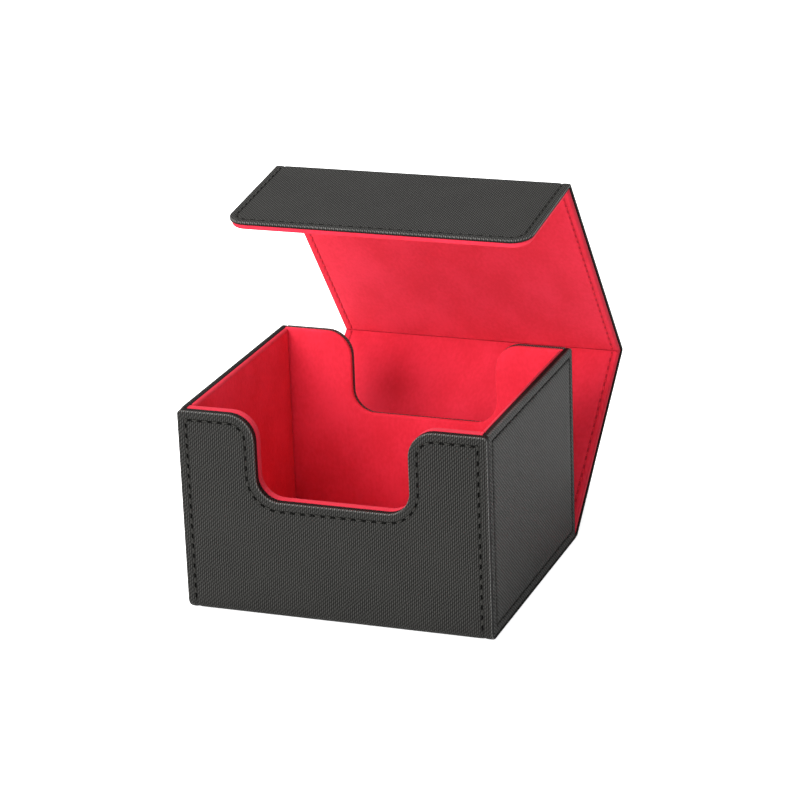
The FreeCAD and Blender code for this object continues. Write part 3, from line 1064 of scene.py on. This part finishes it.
def make_side_wall(side, outward, seed):
    """One side wall: sewn black sheet outside, padded red lining inside."""
    low, high = millimetres(side + "_wall_cover")
    outline = Outline(rectangle(low[1:], high[1:], CORNER_RADIUS), closed=True)
    thickness = high[0] - low[0]
    profile = sewn_profile(thickness, STITCH_INSET, TRAY_VALLEY, radius=0.6, back_radius=0.6)
    swell = crowned(PULLED_FLAT, SHEET_REACH, SHEET_WAVES, seed)
    sheet = plate(outline, profile, swell=swell, weave_across=SIDE_WEAVE)
    place = side_wall_placement(high[0] if outward > 0 else low[0], outward)
    sheet.make(side + "_wall_sheet", place, BLACK, "tray", [side + "_wall_cover"])
    runs = [(outline.at(STITCH_INSET), outline.marks())]
    name, node = side + "_wall_stitching", side + "_wall_thread"
    make_sewing(name, runs, TRAY_STITCH_LEVEL, place, "tray", node)

    low, high = millimetres(side + "_wall_lining")
    outline = Outline(rectangle(low[1:], high[1:], LINING_CORNER), closed=True)
    profile = padded_profile(high[0] - low[0], radius=1.1, back_radius=0.2, drop=0.2, reach=5.0)
    swell = crowned(PADDED, PAD_REACH, LINING_WAVES, seed + 0.5)
    place = side_wall_placement(low[0] if outward > 0 else high[0], -outward)
    make_lining("tray", side + "_wall_lining", outline, profile, swell, place)


def make_floor_lining():
    """Red floor of the card bay."""
    low, high = millimetres("floor_lining")
    outline = Outline(rectangle(low, high, LINING_CORNER), closed=True)
    profile = plain_profile(high[2] - low[2], radius=0.15, back_radius=0.1)
    swell = crowned(PADDED, FLOOR_REACH, FLOOR_WAVES, seed=9.0)
    place = flat_placement((0, 0, high[2]), (1, 0, 0), (0, 1, 0), (0, 0, 1))
    make_lining("tray", "floor_lining", outline, profile, swell, place)


def lid_sheet_profile(stitch_inset, valley):
    """Edge profile of the black sheet of a lid panel or fold."""
    thickness = LID_OUTSIDE - LID_SHEET_BACK
    edge = {"radius": 0.5, "back_radius": 0.15, "level": LID_OUTSIDE}
    return sewn_profile(thickness, stitch_inset, valley, **edge)


def lid_lining_profile(valley):
    """Edge profile of the red lining of a lid panel or fold."""
    thickness = LID_SHEET_BACK - LID_INSIDE
    edge = {"radius": 0.4, "back_radius": 0.2, "level": -LID_INSIDE, "start": LINING_INSET}
    return sewn_profile(thickness, STITCH_INSET, valley, **edge)


def make_lid_panel(body, axis, direction, length, half_width, seed):
    """One flat lid panel between two folds: black sheet outside, red lining inside, sewn sides."""
    steps = round((length - 2 * FOLD_SETBACK) / EDGE_SPACING)
    stations = np.linspace(FOLD_SETBACK, length - FOLD_SETBACK, steps + 1)
    count = round((stations[-1] - stations[0]) / STITCH_PITCH)
    marks = count * np.linspace(0, 1, steps + 1)
    outside, inside = lid_placements(axis, direction)

    section = cross_section(half_width, lid_sheet_profile(STITCH_INSET, LID_VALLEY))
    swell = crowned(0.0, SHEET_REACH, SHEET_WAVES, seed)
    cover = strip(section, stations, stations, marks, swell)
    cover.make(body + "_sheet", outside, BLACK, body, [body + "_cover"])

    section = cross_section(half_width, lid_lining_profile(LID_VALLEY))
    swell = crowned(0.0, SHEET_REACH, LINING_WAVES, seed + 0.5)
    lining = strip(section, stations, stations, marks, swell)
    lining.make(body + "_lining_soft", inside, RED, body, [body + "_lining"])

    line = half_width - STITCH_INSET
    runs = [(np.column_stack([0 * stations + x, stations]), marks) for x in (-line, line)]
    level = LID_OUTSIDE + LID_STITCH_LEVEL
    make_sewing(body + "_stitching", runs, level, outside, body, body + "_thread")
    sewing = stitches(runs, -LID_INSIDE + LID_STITCH_LEVEL)
    sewing.make(body + "_inner_stitching", inside, RED_THREAD, body, slot="red_microfibre")


def make_flap(axis, direction, half_width, free_end):
    """Closing flap with rounded free corners: black sheet outside, padded red lining inside."""
    corners = [
        (half_width, FOLD_SETBACK),
        (half_width, free_end, FLAP_CORNER),
        (-half_width, free_end, FLAP_CORNER),
        (-half_width, FOLD_SETBACK),
    ]
    outline = Outline(corners, stitch_inset=FLAP_STITCH_INSET)
    outside, inside = lid_placements(axis, direction)
    profile = lid_sheet_profile(FLAP_STITCH_INSET, LID_VALLEY)
    sheet = plate(outline, profile, swell=crowned(0.0, SHEET_REACH, SHEET_WAVES, seed=11.0))
    sheet.make("flap_sheet", outside, BLACK, "flap", ["flap_cover"])
    runs = [(outline.at(FLAP_STITCH_INSET), outline.marks())]
    level = LID_OUTSIDE + LID_STITCH_LEVEL
    make_sewing("flap_stitching", runs, level, outside, "flap", "flap_thread")

    thickness = LID_SHEET_BACK - FLAP_INSIDE
    edge = {"radius": 1.0, "back_radius": 0.5, "level": -FLAP_INSIDE, "start": LINING_INSET}
    profile = padded_profile(thickness, drop=0.15, reach=5.0, **edge)
    swell = crowned(0.0, SHEET_REACH, LINING_WAVES, seed=12.0)

    def tapered(points):
        """Thins the padding towards the fold, so that it meets the lining of the fold."""
        near = np.clip((FLAP_TAPER - points[:, 1]) / (FLAP_TAPER - FOLD_SETBACK), 0, 1)
        height = points[:, 2] + LID_SHEET_BACK
        thin = height * (FLAP_INSIDE - LID_INSIDE) / thickness
        shaped = points.copy()
        shaped[:, 2] += thin * near**2
        return inside(shaped)

    make_lining("flap", "flap_lining", outline, profile, swell, tapered, shaded_edges=False)


def paint_crease_shade(sheet, middle):
    """Paints shade along the middle of a fold's lining, the crease, in the lining's edge-shade
    colour.
    """
    sheet.seam = [
        (mark, min(distance, abs(point[1] - middle) / CREASE_STATIONS))
        for (mark, distance), point in zip(sheet.seam, sheet.points)
    ]


def blend_along(piece):
    """Bakes the piece's placement into its mesh."""
    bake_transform(piece)


def make_fold(name, fold, half_width):
    """The black and the red sheet of one soft fold, shaped round its axis."""
    stations = list(range(len(fold.cloth)))
    marks = [NO_HOLE] * len(stations)
    section = cross_section(half_width, lid_sheet_profile(STITCH_INSET, FOLD_VALLEY))
    outer = strip(section, stations, fold.cloth, marks)
    piece = outer.make(name + "_sheet", fold.place, BLACK, replaces=[name])
    blend_along(piece)

    section = cross_section(half_width, lid_lining_profile(FOLD_VALLEY), -1.0)
    inner = strip(section, stations, fold.cloth, marks)
    # Paints shade along the crease.
    paint_crease_shade(inner, stations[-1] / 2)
    piece = inner.make(name + "_lining", fold.place, RED)
    blend_along(piece)


def make_lid():
    """Base fold, lid back, top fold, lid top, flap fold and flap, from the hinges of the record."""
    hinges = {joint["name"]: np.array(joint["pos_m"][1:]) / MM for joint in frame["joints"]}
    base, top, front = hinges["base_hinge"], hinges["top_hinge"], hinges["flap_hinge"]
    half_width = millimetres("lid_back_cover")[1][0]
    back_length = np.linalg.norm(top - base)
    top_length = np.linalg.norm(front - top)
    along_base = np.array([1.0, 0.0])
    along_back = (top - base) / back_length
    along_top = (front - top) / top_length
    lean = math.radians(FLAP_LEAN)
    along_flap = np.array([-math.sin(lean), math.cos(lean)])
    flap_tip = millimetres("flap_cover")[0][1]
    free_end = (front[0] - flap_tip + LID_OUTSIDE * math.cos(lean)) / math.sin(lean)
    make_fold("base_fold", Fold(base, along_base, along_back), half_width)
    make_lid_panel("lid_back", base, along_back, back_length, half_width, seed=5.0)
    make_fold("top_fold", Fold(top, along_back, along_top), half_width)
    make_lid_panel("lid_top", top, along_top, top_length, half_width, seed=7.0)
    make_fold("flap_fold", Fold(front, along_top, along_flap), half_width)
    make_flap(front, along_flap, half_width, free_end)


def paint_cad_nodes():
    """Boards and magnets keep their CAD shape and get the look of compressed board and plated metal.
    """
    for name, node in frame["nodes"].items():
        if node.hide_render:
            continue
        node.data.materials.clear()
        node.data.materials.append(MAGNET if name.endswith("magnets") else BOARD)


# ---- studio


def area_light(name, place, size, power):
    """Square white lamp aimed at the box."""
    data = bpy.data.lights.new(name, "AREA")
    data.size = size
    data.energy = power
    light = add_object(name, data)
    light.location = place
    light.rotation_mode = "QUATERNION"
    light.rotation_quaternion = (Vector(LAMP_AIM) - Vector(place)).to_track_quat("-Z", "Y")


def make_floor():
    half = FLOOR_HALF
    corners = [(-half, -half, 0), (half, -half, 0), (half, half, 0), (-half, half, 0)]
    mesh = bpy.data.meshes.new("studio_floor")
    mesh.from_pydata(corners, [], [(0, 1, 2, 3)])
    mesh.materials.append(floor_material())
    floor = add_object("studio_floor", mesh)
    floor.location.z = cad_box[0].z - FLOOR_GAP


def make_studio():
    """White sweep, soft key light from the front left, a weaker fill and a light from above."""
    nodes = Nodes(bpy.data.worlds.new("studio"), "Background")
    strength = nodes.seen(WORLD_STRENGTH, 1.0)
    bpy.context.scene.world = nodes.finish(Color=(1.0, 1.0, 1.0, 1.0), Strength=strength)
    bpy.context.scene.view_settings.view_transform = "Standard"
    make_floor()
    for name, (place, size, power) in LAMPS.items():
        area_light(name, place, size, power)


def make_camera():
    """Camera at the photographed view: a little from the right and above, slightly rolled."""
    azimuth, elevation = math.radians(CAMERA_AZIMUTH), math.radians(CAMERA_ELEVATION)
    level = math.cos(elevation)
    back = Vector((math.sin(azimuth) * level, -math.cos(azimuth) * level, math.sin(elevation)))
    data = bpy.data.cameras.new("camera")
    data.lens = CAMERA_LENS
    data.clip_start = CAMERA_CLIP
    camera = add_object("camera", data)
    camera.location = Vector(CAMERA_TARGET) + back * CAMERA_DISTANCE
    camera.rotation_mode = "QUATERNION"
    roll = Quaternion((0, 0, 1), math.radians(CAMERA_ROLL))
    camera.rotation_quaternion = (-back).to_track_quat("-Z", "Y") @ roll
    bpy.context.scene.camera = camera


make_front()
make_front_wall()
make_back_wall()
make_side_wall("left", outward=-1.0, seed=20.0)
make_side_wall("right", outward=1.0, seed=30.0)
make_floor_lining()
make_lid()
paint_cad_nodes()
make_studio()
make_camera()
